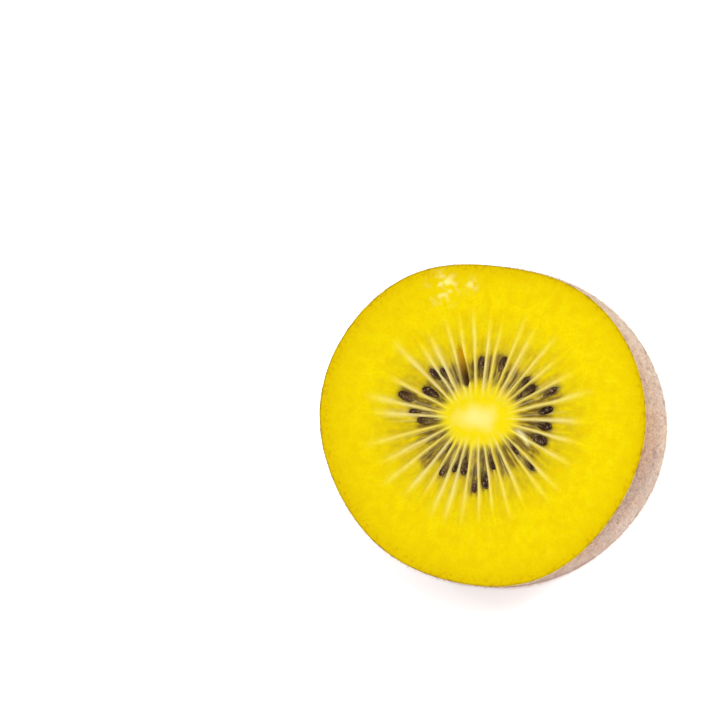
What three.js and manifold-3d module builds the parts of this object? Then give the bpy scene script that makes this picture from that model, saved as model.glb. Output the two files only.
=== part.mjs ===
// Half of a golden kiwi fruit, cut straight across its middle and laid down on its side.
//
// The half is one grown piece, so it is one closed mesh: brown skin, golden flesh, a pale core, white
// rays with soft pockets between them, and small dark seeds sunk in the pockets. The far end carries the
// woody scar where the stalk broke off.
//
// Fruit frame (all shapes are made in it): origin in the middle of the cut, +Z out of the cut, -Z along
// the core to the stem end, +X across the fruit's wide side. Millimetres and degrees.
// Part frame (the exported group): +Z up, the half rests on a small flat spot at Z = 0, its cut faces -Y
// and upward, and the origin is under the middle of its bounding box.

import * as THREE from "three";
import { mergeVertices } from "three/addons/utils/BufferGeometryUtils.js";
import Module from "manifold-3d";

const wasm = await Module();
wasm.setup();

// ---- Driving dimensions ----------------------------------------------------------------------------

const DEPTH = 36; // from the cut to the stem end
const MEAN_RADIUS = 26; // of the cut's outline
const SIDE_FULLNESS = 2.2; // 2 gives an ellipse along the fruit, more gives a fuller barrel
const OUTLINE_WAVES = [
  // how the outline departs from a circle: lobes round it, height in mm, angle of the wave in degrees
  { lobes: 2, height: 1.19, angle: 16 },
  { lobes: 3, height: 0.39, angle: 152 },
  { lobes: 4, height: 0.16, angle: -163 },
  { lobes: 6, height: 0.16, angle: 78 },
];

const CUT_RISE = 38.5; // how far the cut's outward direction points above level, at rest
const FOOT_DEPTH = 0.4; // how much the fruit is flattened where it rests

const CORE_CENTRE = new THREE.Vector2(-0.5, 0.5);
const CORE_TURN = 19.5; // of the long axis of the oval core, from +X towards +Y
const CORE_RADII = new THREE.Vector2(5.2, 3.2); // long and short, as for the ovals below
const POCKET_RADII = new THREE.Vector2(14.0, 10.8); // outer end of the seed pockets
const RAY_RADII = new THREE.Vector2(20.0, 18.0); // where the rays fade into plain flesh
const CORE_RISE = 0.25; // the firm core stands proud of the cut
const CORE_TOP_SHARE = 0.7; // of its radii, where it levels out
const POCKET_SINK = 0.5; // the soft pockets lie below it

const RAYS = 34;
const FIRST_RAY = 7.5;
const RAY_JITTER = 0.6; // of the gap between two rays
const POCKET_PROFILE = [
  // from one ray to the next: share of the way across, and share of the pocket's depth there
  { across: 0, sink: 0 },
  { across: 0.22, sink: 0.8 },
  { across: 0.5, sink: 1 },
  { across: 0.78, sink: 0.8 },
];

const SEED_LENGTH = 2.6;
const SEED_WIDTH = 1.5;
const SEED_THICKNESS = 1.1;
const SEED_LIFT = -0.22; // of a seed's middle, from the plane of the cut
const SEED_RADII = new THREE.Vector2(10.9, 8.5); // oval on which the seeds lie
const SEED_SCATTER = 0.22; // how far they stray from it, as a share of its radius
const SEED_SWAY = 0.3; // how far they stray across their pocket, as a share of its width
const SEED_TURN = 20; // spread of their directions, in degrees
const SEED_SIZES = new THREE.Vector2(0.85, 1.1); // smallest and largest, as shares of the size above
const SEED_NARROWING = 0.5; // how much wider its outer end is than its inner one, as a share of its width
const SEED_MESH = { sides: 7, bands: 5 }; // flat sides round a seed, and bands from end to end
const EMPTY_SHARE = 0.27; // of the pockets that show no seed
const PAIR_SHARE = 0.08; // of the pockets that show a second seed nearer the core
const SECOND_SEED = 0.62; // its share of the first one's distance
const RAY_DRAWS = 40311; // starts the random draws for the rays
const SEED_DRAWS = 160413; // and for the seeds

const SCAR_RADIUS = 4.6; // woody ring left by the stalk
const SCAR_HEIGHT = 0.9;
const SCAR_LUMPS = [
  // lumps round the ring: how many, height as a share of the ring's, angle of the wave in degrees
  { count: 5, height: 0.16, angle: -35 },
  { count: 8, height: 0.12, angle: -120 },
];
const SCAR_LUMP_SPREAD = 0.3; // how far a lump also widens the ring, as a share of its height
const SCAR_SHOULDER = { inside: 0.9, outside: 0.3 }; // where the ring's outer slope starts and ends
const SCAR_PIT_RADII = new THREE.Vector2(1.3, 2.1);
const SCAR_PIT_DEPTH = 1.5;
const SCAR_PIT_FLOOR = { start: 0.3, end: 1.2 }; // where its wall starts and ends, in its own radii
const SCAR_RING_BROW = { start: 0.7, end: 1.5 }; // where the ring's inner slope does, in the pit's radii
const SCAR_MOAT_DEPTH = 0.4; // narrow groove round the ring
const SCAR_MOAT_OFFSET = 0.6; // from the ring's edge to the groove's middle
const SCAR_MOAT_WIDTH = 0.7;
const DIMPLE_RADIUS = 7; // shallow hollow that holds the scar
const DIMPLE_DEPTH = 0.8;
const STEM_END_RADIUS = 7.5; // the part of the skin that is meshed finely, for the scar

const SKIN_RINGS = 15;
const STEM_END_RINGS = 13;
const CUT_RINGS = [
  // rings of the cut round the core: the two ovals that each lies between, its share of the way out from
  // the inner one, and its depth as a share of the pockets' depth
  { inner: CORE_RADII, outer: RAY_RADII, share: 1, depth: 0 },
  { inner: POCKET_RADII, outer: RAY_RADII, share: 0.5, depth: 0.2 },
  { inner: CORE_RADII, outer: POCKET_RADII, share: 1, depth: 0.6 },
  { inner: CORE_RADII, outer: POCKET_RADII, share: 0.75, depth: 1 },
  { inner: CORE_RADII, outer: POCKET_RADII, share: 0.3, depth: 1 },
  { inner: CORE_RADII, outer: POCKET_RADII, share: 0.05, depth: 0.4 },
];
const MERGE_DISTANCE = 1e-4; // points closer than this are one

const COLOURS = {
  skin: new THREE.Color(0x8a5230),
  flesh: new THREE.Color(0xf2cf0a),
  core: new THREE.Color(0xfbf08a),
  seed: new THREE.Color(0x2a1a17),
  scar: new THREE.Color(0xb79a5c),
};

// ---- Small helpers ---------------------------------------------------------------------------------

const radians = THREE.MathUtils.degToRad;
const { lerp, smoothstep } = THREE.MathUtils;

// A repeatable random draw between 0 and 1 (mulberry32).
function makeRandom(seed) {
  let state = seed;
  return () => {
    state = (state + 0x6d2b79f5) | 0;
    let mixed = Math.imul(state ^ (state >>> 15), 1 | state);
    mixed = (mixed + Math.imul(mixed ^ (mixed >>> 7), 61 | mixed)) ^ mixed;
    return ((mixed ^ (mixed >>> 14)) >>> 0) / 4294967296;
  };
}

// Distance from an oval's centre to its edge at an angle, the oval's long axis being turned by `turn`.
function ovalRadius(radii, angle, turn = radians(CORE_TURN)) {
  return 1 / Math.hypot(Math.cos(angle - turn) / radii.x, Math.sin(angle - turn) / radii.y);
}

// A closed BufferGeometry as a manifold-3d solid.
function toSolid(geometry) {
  const bare = new THREE.BufferGeometry();
  bare.setAttribute("position", geometry.getAttribute("position"));
  bare.setIndex(geometry.getIndex());
  const merged = mergeVertices(bare, MERGE_DISTANCE);
  const vertProperties = new Float32Array(merged.getAttribute("position").array);
  const triVerts = new Uint32Array(merged.getIndex().array);
  return new wasm.Manifold(new wasm.Mesh({ numProp: 3, vertProperties, triVerts }));
}

// ---- The grown body: skin, stem end and cut --------------------------------------------------------

// Radius of the fruit round its axis. Uneven lobes fade out towards the stem end, and its width stays.
function outlineRadius(angle, depthShare) {
  let radius = MEAN_RADIUS;
  for (const { lobes, height, angle: turn } of OUTLINE_WAVES) {
    const kept = lobes === 2 ? 1 : 1 - depthShare;
    radius += kept * height * Math.cos(lobes * angle - radians(turn));
  }
  return radius;
}

// Relief of the stem end, along the axis: a shallow dimple, and in it a groove, a lumpy ring and a pit.
function stemEndRelief(angle, distance) {
  const dimple = DIMPLE_DEPTH * Math.exp(-((distance / DIMPLE_RADIUS) ** 2));
  const lumps = SCAR_LUMPS.reduce(
    (sum, lump) => sum + lump.height * Math.cos(lump.count * angle - radians(lump.angle)),
    0
  );
  const edge = SCAR_RADIUS * (1 + SCAR_LUMP_SPREAD * lumps);
  const pitEdge = ovalRadius(SCAR_PIT_RADII, angle, 0);
  const outside = smoothstep(distance, edge - SCAR_SHOULDER.inside, edge + SCAR_SHOULDER.outside);
  const inside = 1 - smoothstep(distance, SCAR_RING_BROW.start * pitEdge, SCAR_RING_BROW.end * pitEdge);
  const ring = SCAR_HEIGHT * (1 + lumps) * (1 - outside) * (1 - inside);
  const wall = smoothstep(distance, SCAR_PIT_FLOOR.start * pitEdge, SCAR_PIT_FLOOR.end * pitEdge);
  const pit = SCAR_PIT_DEPTH * (1 - wall);
  const fromMoat = (distance - edge - SCAR_MOAT_OFFSET) / SCAR_MOAT_WIDTH;
  const moat = SCAR_MOAT_DEPTH * Math.exp(-(fromMoat ** 2));
  return dimple + moat - ring + pit;
}

// A point of the skin: share 0 is the axis and 1 the rim of the cut.
function skinPoint(angle, share) {
  const depthShare = (1 - share * share) ** (1 / SIDE_FULLNESS);
  const distance = share * outlineRadius(angle, depthShare);
  const z = -DEPTH * depthShare + stemEndRelief(angle, distance);
  return new THREE.Vector3(distance * Math.cos(angle), distance * Math.sin(angle), z);
}

// Shares of the skin's rings, from the stem end to the rim: close together round the scar.
function skinShares() {
  const stemEndShare = STEM_END_RADIUS / MEAN_RADIUS;
  const shares = [];
  for (let ring = 1; ring <= STEM_END_RINGS; ring += 1) {
    shares.push((stemEndShare * ring) / STEM_END_RINGS);
  }
  const start = Math.acos(stemEndShare);
  for (let ring = 1; ring <= SKIN_RINGS; ring += 1) {
    shares.push(Math.cos(start * (1 - ring / SKIN_RINGS)));
  }
  return shares;
}

// Angle of every ray, and of the first one again after a full turn.
function rayAngles() {
  const random = makeRandom(RAY_DRAWS);
  const gap = (2 * Math.PI) / RAYS;
  const rays = [];
  for (let ray = 0; ray < RAYS; ray += 1) {
    rays.push(radians(FIRST_RAY) + gap * (ray + RAY_JITTER * (random() - 0.5)));
  }
  return [...rays, rays[0] + 2 * Math.PI];
}

// Angles of the mesh round the core: every ray runs along an edge, with its pocket's profile after it.
function meshAngles(rays) {
  const angles = [];
  for (let ray = 0; ray < RAYS; ray += 1) {
    POCKET_PROFILE.forEach(({ across }) => angles.push(lerp(rays[ray], rays[ray + 1], across)));
  }
  return angles;
}

// A point of the cut on the way from one oval round the core to another.
function cutPoint(angle, inner, outer, share, height) {
  const distance = lerp(ovalRadius(inner, angle), ovalRadius(outer, angle), share);
  const x = CORE_CENTRE.x + distance * Math.cos(angle);
  const y = CORE_CENTRE.y + distance * Math.sin(angle);
  return new THREE.Vector3(x, y, height);
}

// A ring of the cut that is sunk between the rays, by a share of the pockets' full depth.
function pocketRing(angles, { inner, outer, share, depth }) {
  return angles.map((angle, step) => {
    const { sink } = POCKET_PROFILE[step % POCKET_PROFILE.length];
    return cutPoint(angle, inner, outer, share, -depth * sink * POCKET_SINK);
  });
}

// The cut's rings, from just inside the rim to the top of the core.
function cutRings(angles, coarseAngles) {
  const flatRing = coarseAngles.map((angle) =>
    skinPoint(angle, 1).lerp(cutPoint(angle, CORE_RADII, RAY_RADII, 1, 0), 0.5)
  );
  const coreTop = CORE_RADII.clone().multiplyScalar(CORE_TOP_SHARE);
  const coreRing = coarseAngles.map((angle) => cutPoint(angle, coreTop, coreTop, 1, CORE_RISE));
  return [flatRing, ...CUT_RINGS.map((ring) => pocketRing(angles, ring)), coreRing];
}

// Joins two rings of points. The inner ring may have the same count as the outer, twice it or half.
function bridge(triangles, outer, inner) {
  const outerStep = Math.max(1, outer.length / inner.length);
  const innerStep = Math.max(1, inner.length / outer.length);
  const spans = Math.min(outer.length, inner.length);
  for (let span = 0; span < spans; span += 1) {
    const a = outer[span * outerStep];
    const b = outer[((span + 1) * outerStep) % outer.length];
    const c = inner[((span + 1) * innerStep) % inner.length];
    const d = inner[span * innerStep];
    if (outerStep === 2) {
      const middle = outer[span * 2 + 1];
      triangles.push(a, middle, d, middle, b, c, d, middle, c);
    } else if (innerStep === 2) {
      const middle = inner[span * 2 + 1];
      triangles.push(a, b, middle, a, middle, d, b, c, middle);
    } else {
      triangles.push(a, b, c, a, c, d);
    }
  }
}

// Fans a ring to a single point that closes the surface.
function cap(triangles, ring, point, pointFirst) {
  ring.forEach((vertex, step) => {
    const next = ring[(step + 1) % ring.length];
    triangles.push(...(pointFirst ? [point, next, vertex] : [vertex, next, point]));
  });
}

// The whole body as one closed surface, ring after ring from the stem end to the middle of the core.
function makeBody(rays) {
  const angles = meshAngles(rays);
  const coarseAngles = angles.filter((_, step) => step % 2 === 0);
  const positions = [];
  const addPoint = (point) => positions.push(...point.toArray()) / 3 - 1; // gives the point's number
  const stemEnd = addPoint(skinPoint(0, 0));
  const skinRings = skinShares().map((share) => coarseAngles.map((angle) => skinPoint(angle, share)));
  const rings = [...skinRings, ...cutRings(angles, coarseAngles)].map((ring) => ring.map(addPoint));
  const coreTop = addPoint(new THREE.Vector3(CORE_CENTRE.x, CORE_CENTRE.y, CORE_RISE));

  const triangles = [];
  cap(triangles, rings[0], stemEnd, true);
  for (let ring = 0; ring + 1 < rings.length; ring += 1) {
    bridge(triangles, rings[ring], rings[ring + 1]);
  }
  cap(triangles, rings[rings.length - 1], coreTop, false);

  const geometry = new THREE.BufferGeometry();
  geometry.setAttribute("position", new THREE.Float32BufferAttribute(positions, 3));
  geometry.setIndex(triangles);
  return geometry;
}

// ---- Seeds -----------------------------------------------------------------------------------------

// A flattened drop with its narrow end at the core, sunk in its pocket with its back just standing out.
function makeSeed(angle, distance, turn, size) {
  const geometry = new THREE.SphereGeometry(0.5, SEED_MESH.sides, SEED_MESH.bands);
  geometry.rotateZ(-Math.PI / 2);
  const position = geometry.getAttribute("position");
  for (let vertex = 0; vertex < position.count; vertex += 1) {
    const narrowing = 1 + SEED_NARROWING * position.getX(vertex);
    position.setY(vertex, position.getY(vertex) * narrowing);
  }
  geometry.scale(SEED_LENGTH * size, SEED_WIDTH * size, SEED_THICKNESS);
  geometry.rotateZ(angle + turn);
  const x = CORE_CENTRE.x + distance * Math.cos(angle);
  const y = CORE_CENTRE.y + distance * Math.sin(angle);
  return geometry.translate(x, y, SEED_LIFT);
}

// How many seeds a pocket shows, from a draw between 0 and 1.
function countSeeds(draw) {
  if (draw < EMPTY_SHARE) {
    return 0;
  }
  return draw < EMPTY_SHARE + PAIR_SHARE ? 2 : 1;
}

// One seed in the pocket between each ray and the next, now and then two or none.
function makeSeeds(rays) {
  const random = makeRandom(SEED_DRAWS);
  const seeds = [];
  for (let ray = 0; ray < RAYS; ray += 1) {
    const count = countSeeds(random());
    [1, SECOND_SEED].forEach((reach, place) => {
      const angle = lerp(rays[ray], rays[ray + 1], 0.5 + SEED_SWAY * (random() - 0.5));
      const scatter = 1 + SEED_SCATTER * (2 * random() - 1);
      const turn = radians(SEED_TURN * (random() - 0.5));
      const size = lerp(SEED_SIZES.x, SEED_SIZES.y, random());
      if (place < count) {
        seeds.push(makeSeed(angle, reach * scatter * ovalRadius(SEED_RADII, angle), turn, size));
      }
    });
  }
  return seeds;
}

// ---- Resting on its side ---------------------------------------------------------------------------

// Turns the fruit frame so that the cut looks forward and up.
const layDown = new THREE.Matrix4().makeRotationX(radians(90 - CUT_RISE));

// A block that covers everything below the flat spot the fruit rests on, in the fruit frame.
function makeFloorBlock(body) {
  const laid = body.clone().applyMatrix4(layDown);
  laid.computeBoundingBox();
  const { min, max } = laid.boundingBox;
  const side = 4 * MEAN_RADIUS;
  const block = new THREE.BoxGeometry(side, side, side);
  block.translate((min.x + max.x) / 2, (min.y + max.y) / 2, min.z + FOOT_DEPTH - side / 2);
  return block.applyMatrix4(layDown.clone().invert());
}

// ---- Colour by tissue ------------------------------------------------------------------------------

// Colour of a triangle with this middle and normal: it is on the cut if it is high up and faces outward.
function tissueAt(centre, normal, isSeed) {
  if (isSeed) {
    return COLOURS.seed;
  }
  const onCut = centre.z > -1.5 * POCKET_SINK && normal.z > 0.4;
  if (onCut) {
    const fromCore = new THREE.Vector2(centre.x, centre.y).sub(CORE_CENTRE);
    return fromCore.length() < ovalRadius(CORE_RADII, fromCore.angle()) ? COLOURS.core : COLOURS.flesh;
  }
  const fromAxis = Math.hypot(centre.x, centre.y);
  const inScar = centre.z < -0.5 * DEPTH && fromAxis < SCAR_RADIUS + SCAR_SHOULDER.outside;
  return inScar ? COLOURS.scar : COLOURS.skin;
}

// The solid as a geometry of separate triangles, each coloured by the tissue it shows.
function toColouredGeometry(solid, seedIds) {
  const mesh = solid.getMesh();
  const corners = mesh.triVerts;
  const positions = new Float32Array(corners.length * 3);
  corners.forEach((vertex, corner) => {
    const start = vertex * mesh.numProp;
    positions.set(mesh.vertProperties.subarray(start, start + 3), corner * 3);
  });
  const colours = new Float32Array(positions.length);
  const triangle = new THREE.Triangle();
  const centre = new THREE.Vector3();
  const normal = new THREE.Vector3();
  for (let run = 0; run < mesh.runOriginalID.length; run += 1) {
    const isSeed = seedIds.has(mesh.runOriginalID[run]);
    for (let corner = mesh.runIndex[run]; corner < mesh.runIndex[run + 1]; corner += 3) {
      triangle.a.fromArray(positions, corner * 3);
      triangle.b.fromArray(positions, corner * 3 + 3);
      triangle.c.fromArray(positions, corner * 3 + 6);
      const colour = tissueAt(triangle.getMidpoint(centre), triangle.getNormal(normal), isSeed);
      [0, 3, 6].forEach((offset) => colour.toArray(colours, corner * 3 + offset));
    }
  }
  const geometry = new THREE.BufferGeometry();
  geometry.setAttribute("position", new THREE.BufferAttribute(positions, 3));
  geometry.setAttribute("color", new THREE.BufferAttribute(colours, 3));
  geometry.computeVertexNormals();
  return geometry;
}

// ---- The part --------------------------------------------------------------------------------------

function makeFruitHalf() {
  const rays = rayAngles();
  const body = makeBody(rays);
  const seeds = makeSeeds(rays).map(toSolid);
  const grown = seeds.reduce((whole, seed) => whole.add(seed), toSolid(body));
  const rested = grown.subtract(toSolid(makeFloorBlock(body)));
  const seedIds = new Set(seeds.map((seed) => seed.originalID()));
  const material = new THREE.MeshStandardMaterial({ vertexColors: true, roughness: 0.5, metalness: 0 });
  const half = new THREE.Mesh(toColouredGeometry(rested, seedIds), material);
  half.name = "fruit_half";
  return half;
}

// Lays the half down and puts the origin under the middle of its bounding box.
function makePart() {
  const half = makeFruitHalf();
  half.rotation.x = radians(90 - CUT_RISE);
  half.updateMatrixWorld(true);
  const box = new THREE.Box3().setFromObject(half, true);
  const centre = box.getCenter(new THREE.Vector3());
  half.position.set(-centre.x, -centre.y, -box.min.z);
  const part = new THREE.Group();
  part.name = "golden_kiwi_half";
  part.add(half);
  return part;
}

export default makePart();
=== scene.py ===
"""Looks of a golden kiwi fruit half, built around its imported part. It runs in Blender 4.5.

Shapes are worked out in millimetres in the fruit frame, as in the part's source: origin in the middle of
the cut, +Z out of the cut, -Z along the core to the stem end, +X across the wide side. lay_down() turns
them into the row frame, in metres. Six pieces stand for the one grown solid: the flesh with its core and
rays, the seeds, the skin, the short and the long fuzz on it, and the scar that the stalk left.
"""

import math
from types import SimpleNamespace

import bpy
import numpy as np
from mathutils import Matrix, Vector, noise


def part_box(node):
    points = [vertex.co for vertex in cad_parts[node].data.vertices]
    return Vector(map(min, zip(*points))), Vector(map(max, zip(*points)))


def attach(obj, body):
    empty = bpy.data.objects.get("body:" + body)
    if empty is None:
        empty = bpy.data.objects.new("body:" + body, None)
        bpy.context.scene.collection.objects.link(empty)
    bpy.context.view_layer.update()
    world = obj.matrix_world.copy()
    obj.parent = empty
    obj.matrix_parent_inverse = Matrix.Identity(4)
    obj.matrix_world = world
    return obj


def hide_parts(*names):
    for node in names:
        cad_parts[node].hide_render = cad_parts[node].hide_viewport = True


MM = 0.001
NODE = "fruit_half"
BODY = "root"

# ---- Sizes shared with the part's source, in millimetres and degrees ----

DEPTH = 36.0
MEAN_RADIUS = 26.0
SIDE_FULLNESS = 2.2
OUTLINE_WAVES = ((2, 1.19, 16), (3, 0.39, 152), (4, 0.16, -163), (6, 0.16, 78))  # lobes, height, angle
CUT_RISE = 38.5

CORE_CENTRE = np.array((-0.5, 0.5))
CORE_TURN = math.radians(19.5)
CORE_RADII = (5.2, 3.2)
POCKET_RADII = (14.0, 10.8)
RAY_RADII = (20.0, 18.0)
CORE_RISE = 0.25
POCKET_SINK = 0.5

RAYS = 34
FIRST_RAY = 7.5
RAY_JITTER = 0.6
SEED_LENGTH = 2.6
SEED_WIDTH = 1.5
SEED_THICKNESS = 1.1
SEED_LIFT = -0.22
SEED_RADII = (10.9, 8.5)
SEED_SCATTER = 0.22
SEED_SWAY = 0.3
SEED_TURN = 20
SEED_SIZES = (0.85, 1.1)
SEED_NARROWING = 0.5
EMPTY_SHARE = 0.27
PAIR_SHARE = 0.08
SECOND_SEED = 0.62
RAY_DRAWS = 40311
SEED_DRAWS = 160413

SCAR_RADIUS = 4.6
SCAR_HEIGHT = 0.9
SCAR_LUMPS = ((5, 0.16, -35), (8, 0.12, -120))  # how many, height as a share of the ring's, angle
SCAR_LUMP_SPREAD = 0.3
SCAR_SHOULDER = (-0.9, 0.3)
SCAR_PIT_RADII = (1.3, 2.1)
SCAR_PIT_DEPTH = 1.5
SCAR_PIT_FLOOR = (0.3, 1.2)
SCAR_RING_BROW = (0.7, 1.5)
SCAR_MOAT_DEPTH = 0.4
SCAR_MOAT_OFFSET = 0.6
SCAR_MOAT_WIDTH = 0.7
DIMPLE_RADIUS = 7.0
DIMPLE_DEPTH = 0.8

# ---- The cut's finer forms, in millimetres ----
# A reach is 0 in the core's middle, 1 at its edge, 2 at the pockets' edge, 3 at the rays' end and 4 at the
# rim. A noise is its grain size and an offset that picks a piece of noise. Pairs that end in FADE, EDGE or
# LEVELS are where a smoothstep starts and ends.

ZONE_RINGS = (22, 58, 30, 22)  # of the grid, for each whole step of reach
STEPS_PER_RAY = 16
STEP_BUNCHING = 0.55  # how far the steps crowd towards the rays
RAY_OFFSET = 1.27  # the rays' straight lines pass this far from the core's middle, at most
RAY_HOME = 9.7  # distance at which they cross the angles drawn for them
LEAN_ROUNDS = 4  # until a point's lean and its distance agree

RAY_REACHES = (1, 1.6, 2.4, 3)
RAY_HALF_WIDTHS = (0.18, 0.27, 0.42, 0.56)  # at those reaches
RAY_RISE = 0.05
RAY_STRENGTHS = (0.45, 1.0)  # drawn for each ray, as are the next three
RAY_ENDS = (2.55, 3.1)
RAY_STARTS = (0.7, 1.0)
RAY_BREADTHS = (0.7, 1.25)
RAY_START_FADE = (0, 0.45)
RAY_END_FADE = (-0.8, 0)
RAY_SWAY = 0.16
SWAY_NOISE = (4.5, 0.0)
SWAY_FADE = (1.0, 1.8)
LUSTRE = 0.85
LUSTRE_NOISE = (1.0, 20.5)
LUSTRE_CHANGES = (0.25, 0.6)  # before and after the fade
LUSTRE_FADE = (1.9, 2.6)
RAYS_APART = 5.3  # in the noise, so that each ray has its own piece of it
FAINT_RAY_HALF_WIDTH = 0.11
FAINT_RAY_PLACES = ((0.22, 0.42), (0.55, 0.78))  # two in a pocket, as shares of its width
FAINT_RAY_STRENGTHS = (0, 0.65)
FAINT_RAY_SWAY = 0.6  # share of the rays' own
FAINT_RAY_START_FADE = (0.95, 1.1)
FAINT_RAY_END_FADE = (1.6, 2.3)

POCKET_REACHES = (0, 1, 1.3, 1.75, 2, 2.5, 3, 4)
POCKET_DEPTHS = (0, 0, 1, 1, 0.6, 0.2, 0, 0)  # share of POCKET_SINK at those reaches
POCKET_WALL = 0.3  # its width, beside a ray
PULP_NOISE = (0.55, 0.0)
PULP_CHANGE = 0.12  # of the pockets' depth
SWELL_NOISE = (7.0, 3.1)
SWELL_HEIGHT = 0.06
SWELL_FADE = (0.1, 0.6)  # by nearness to the rim, which is 1 there
FIBRE_GRAIN = (0.045, 2.9)  # radians across and millimetres along
FIBRE_HEIGHT = 0.035
FIBRE_FADE = (0.3, 1.5)
FINE_FIBRE_GRAIN = (0.018, 0.9)
FINE_FIBRE_OFFSET = 31.7
FINE_FIBRE_SHARE = 0.7  # beside the others in a strand
FLECK_GRAIN = (0.026, 1.3)
FLECK_OFFSET = 12.9
FLECK_LEVELS = (0.15, 0.55)
FLECK_FADE = (2.0, 3.0)
RIM_SLOPE = 1.1  # width of the worn rim
RIM_SINK = 0.05
RIM_NICK = 0.14  # how far down the knife and the torn skin nick the rim
NICK_SLOPE = 0.12
NICK_SIZES = (1.6, 0.7)
NICK_LEVEL = 0.2
FINE_NICKS = 0.6
RIM_TONE_REACH = 2.6  # how far in from the rim the flesh is deeper in colour
# Painted shade: the deeper rim tone reaches less far in on the side towards the light, and further on the
# side away from it.
PAINTED_RIM_SHADE_SWAY = 0.9  # less on one side by this, and more on the other
PAINTED_RIM_SHADE_TURN = math.radians(40)  # the side with less

CORE_FADE = (0.62, 1.04)
CREAM_FADE = (0.15, 0.9)
CREAM_CLOUDS = 0.25  # how far they shift its fade
CREAM_FIBRES = 0.06
CLOUD_NOISE = (2.0, 6.6)
GLOW_FADE = (0.9, 1.35)
GLOW_FIBRES = 0.12
HALO_OFFSET = (0.2, 0.9)  # the flesh round the core without olive shade: its middle from the core's
HALO_RADII = (5.5, 4.6)
HALO_FRAY = 0.2
HALO_EDGE = (0.9, 1.25)
SHADE_TIPS = (0.9, 1.2)  # share of SEED_RADII at which the shade of a pocket with no seed ends
SHADE_STRENGTH = 0.78
TIP_FRAY = 0.6
TIP_FADE = (-0.6, 0.9)
TINGE_STRENGTH = 0.45
TINGE_REACHES = (0, 1.6, 2.0, 2.4, 3.0)
TINGE_SHARES = (1, 1, 0.8, 0.35, 0)
SHADE_STRANDS = 0.8
SHADE_LIMIT = 1.25
SHADE_PULP = 0.15
SEED_STAINS = ((0, 1.2, 1.0, 0.85), (-0.45, 1.3, 0.9, 0.7))  # shift, length, width and darkness
SUNK_REACHES = ((0.58, 0.76), (0.76, 0.95))  # share of the shade's tip, two sunken seeds to a pocket
SUNK_PLACES = (0.35, 0.65)  # across the pocket
SUNK_TURNS = (-5, 5)
SUNK_LENGTHS = (1.8, 3.4)
SUNK_WIDTHS = (0.5, 1.2)
SUNK_SHADES = (0.15, 0.95)
STAIN_LEVEL = 0.95
STAIN_STRANDS = 0.9
STAIN_UNDER_RAY = 0.75  # share of a stain that a full ray hides

SLIT_ANGLE = math.radians(131)  # the pocket here gapes
SLIT_DISTANCES = (5.2, 6.2, 8.2, 10.5, 12.6)
SLIT_HALF_WIDTHS = (0.2, 0.75, 0.8, 0.5, 0.1)  # at those distances
SLIT_START_FADE = (-0.3, 0.5)
SLIT_END_FADE = (-1.6, 0)
SLIT_DEPTH = 0.5
SLIT_FLOOR_FADE = (6.8, 10.8)
SLIT_OVER_RAY = 0.85

# Painted highlight: on the film's crests (most near the glint), on the drop and along the streak the flesh
# is painted pale cream, and the same mask makes it glossy.
FILM = {"spot": (-13.2, 17.3), "radius": 2.7, "power": 4}  # juice that lies flat on the cut
FILM_HEIGHT = 0.003
FILM_LEVELS = (0.2, 0.6)
FILM_BRIGHTNESS = (0.4, 1)  # away from the glint, and in it
GLINT = {"spot": (-13.0, 18.0), "radius": 1.7}  # where the film mirrors the glint lamp
GLINT_RIPPLES = 0.4
RIPPLE_NOISE = (0.95, 37.4)
FINE_RIPPLE_NOISE = (0.45, 41.0)
FINE_RIPPLE_SHARE = 0.5
DROP = {"spot": (-8.8, 19.3), "radius": 0.85}
DROP_LEVELS = (-0.4, 0.4)
STREAK_ENDS = ((5.5, 1.1), (9.2, -0.9))  # a streak of juice along a pocket's wall
STREAK_HALF_WIDTH = 0.34
STREAK_SWAY = 0.3
STREAK_FADE = 0.3  # share of its length, at each end
STREAK_BRIGHTNESS = 1.6

# ---- The other pieces, in millimetres ----

SEED_STEPS = 18
SEED_RINGS = 12
SEED_STRETCH = (1.2, 0.85, 0.95)  # of the seeds here against the part's
SEED_TIP = 0.45  # where the shade round a seed ends, as a share of its length
SEED_TILTS = (-14, -3)  # their outer ends stand up, in degrees
SEED_SUNK = 0.24  # how much lower the seeds sit here than in the part
SEED_SINKS = (-0.1, 0.34)  # drawn for each seed, on top of that
INNER_SEEDS = 0.76  # share of SEED_RADII inside which seeds sit deeper still
INNER_SINK = 0.3
SLIT_SINK = 1.6
CORE_SINK_FADE = (5.8, 7.2)  # seeds nearer than the first sit 1 mm deeper
DENT_HEIGHT = 0.05
DENT_SIZE = 0.35
NOISE_SPAN = 50  # a seed's offset into the noise is drawn up to this
VEIL_LIMIT = 0.8  # of the veil of pulp over a seed's end at the core
VEIL_FADE = (-0.3, 0.45)
VEIL_CHANGES = (-0.4, 0.15)  # drawn for each seed
VEIL_STRANDS = 0.75
VEIL_GRAIN = (0.7, 0.2, 0.5)

SKIN_THICKNESS = 0.25
RIM_THICKNESS = 0.06
THINNING_FADE = (0.85, 1)  # share of the way from the axis to the rim, as for SETTLING_FADE
SKIN_STEPS = 360
SKIN_RINGS = 150
RIM_DEPTHS = (0.5, 0.34, 0.18, 0.0)  # of the last rings, below the cut
SKIN_INNER_RINGS = 27
FLESH_INNER_RINGS = 23
FLESH_INNER_START = 0.03  # angle below the rim at which the flesh's side starts, in radians
SKIN_SWELLS = ((9.0, 1.7, 0.16), (2.2, 7.7, 0.03))  # a noise and its height
SETTLING_FADE = (0.9, 1)
LIP_HEIGHT = 0.04
LIP_FADE = (0.05, 0.25)  # of its colour, by depth
STEM_TONE_RADIUS = 7.5
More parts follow.
